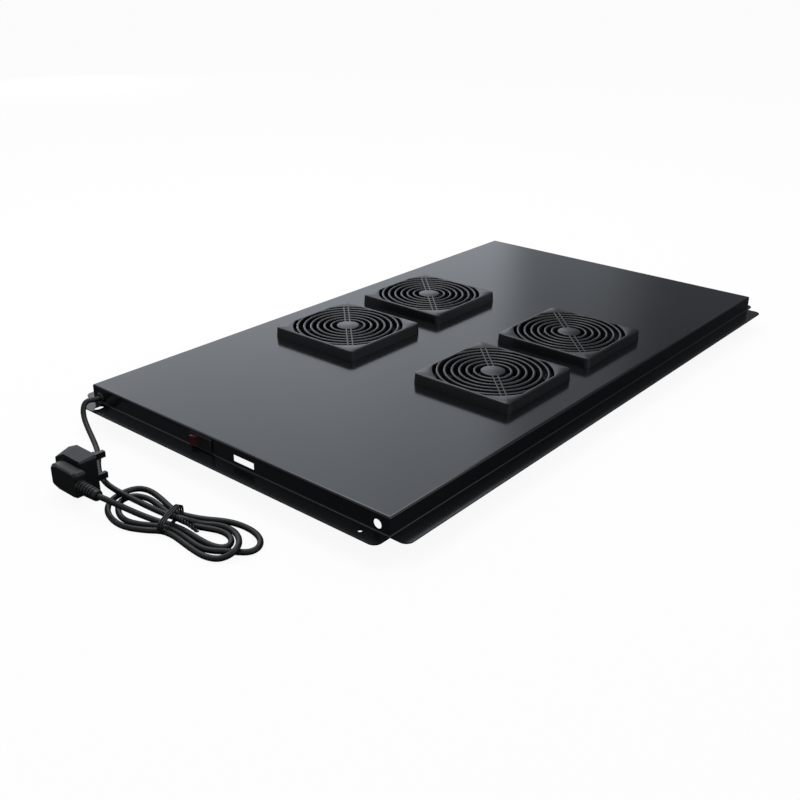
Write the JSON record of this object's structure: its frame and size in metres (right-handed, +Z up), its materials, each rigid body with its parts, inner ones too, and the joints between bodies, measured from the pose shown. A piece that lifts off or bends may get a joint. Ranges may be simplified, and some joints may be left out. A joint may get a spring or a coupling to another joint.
{
  "type": "rack fan tray",
  "caption": "Black sheet-steel rack fan tray with guarded mains axial fans, a lit rocker switch, and a tied mains cord with a moulded plug.",
  "frame": {"origin": "middle of the tray without its cord, on the surface that the fans stand on", "axes": "+X right along the short front edge with the switch, +Y back along the length, +Z up"},
  "size_m": [0.458, 0.8969, 0.0512],
  "materials": {
    "powder_coat": "satin",
    "guard_plastic": "fine grain",
    "fan_casting": "satin",
    "fan_plastic": "satin",
    "winding": "enamelled",
    "steel": "zinc plated",
    "brass": "bright",
    "switch_plastic": "gloss",
    "switch_red": "translucent",
    "terminal_plastic": "natural",
    "plug_plastic": "satin",
    "cord_rubber": "satin",
    "tie_plastic": "satin"
  },
  "bodies": {
    "tray": {"tray_panel": "powder_coat", "guard_base_1": "guard_plastic", "fan_housing_1": "fan_casting", "fan_stator_1": "winding", "guard_base_2": "guard_plastic", "fan_housing_2": "fan_casting", "fan_stator_2": "winding", "guard_base_3": "guard_plastic", "fan_housing_3": "fan_casting", "fan_stator_3": "winding", "guard_base_4": "guard_plastic", "fan_housing_4": "fan_casting", "fan_stator_4": "winding", "fan_screws": "steel", "switch_body": "switch_plastic", "switch_blades": "brass", "cord_bush": "cord_rubber", "cord_inner_end": "cord_rubber", "terminal_block": "terminal_plastic", "earth_stud": "steel", "earth_nut": "brass", "cord_lead": "cord_rubber", "cord_tail": "cord_rubber", "cord_hank": "cord_rubber", "cord_tie": "tie_plastic", "plug_body": "plug_plastic", "plug_pins": "brass", "plug_fuse_drawer": "switch_red", "plug_boot": "cord_rubber"},
    "rocker": {"switch_rocker": "switch_red"},
    "impeller_1": {"fan_rotor_1": "fan_plastic", "fan_shaft_1": "steel"},
    "cover_1": {"guard_cover_1": "guard_plastic"},
    "impeller_2": {"fan_rotor_2": "fan_plastic", "fan_shaft_2": "steel"},
    "cover_2": {"guard_cover_2": "guard_plastic"},
    "impeller_3": {"fan_rotor_3": "fan_plastic", "fan_shaft_3": "steel"},
    "cover_3": {"guard_cover_3": "guard_plastic"},
    "impeller_4": {"fan_rotor_4": "fan_plastic", "fan_shaft_4": "steel"},
    "cover_4": {"guard_cover_4": "guard_plastic"}
  },
  "joints": [
    {"name": "switch_rock", "type": "hinge", "parent": "tray", "child": "rocker", "pos_m": [-0.032, -0.3734, 0.029], "axis": [0, 0, 1], "range_deg": [-20, 0]},
    {"name": "fan_1_spin", "type": "hinge", "parent": "tray", "child": "impeller_1", "pos_m": [-0.10335, -0.08595, 0.02], "axis": [0, 0, 1], "continuous": true},
    {"name": "cover_1_lift", "type": "slide", "parent": "tray", "child": "cover_1", "axis": [0, 0, 1], "range_m": [0, 0.03]},
    {"name": "fan_2_spin", "type": "hinge", "parent": "tray", "child": "impeller_2", "pos_m": [0.11015, -0.08595, 0.02], "axis": [0, 0, 1], "continuous": true},
    {"name": "cover_2_lift", "type": "slide", "parent": "tray", "child": "cover_2", "axis": [0, 0, 1], "range_m": [0, 0.03]},
    {"name": "fan_3_spin", "type": "hinge", "parent": "tray", "child": "impeller_3", "pos_m": [-0.10335, 0.07175, 0.02], "axis": [0, 0, 1], "continuous": true},
    {"name": "cover_3_lift", "type": "slide", "parent": "tray", "child": "cover_3", "axis": [0, 0, 1], "range_m": [0, 0.03]},
    {"name": "fan_4_spin", "type": "hinge", "parent": "tray", "child": "impeller_4", "pos_m": [0.11015, 0.07175, 0.02], "axis": [0, 0, 1], "continuous": true},
    {"name": "cover_4_lift", "type": "slide", "parent": "tray", "child": "cover_4", "axis": [0, 0, 1], "range_m": [0, 0.03]}
  ]
}
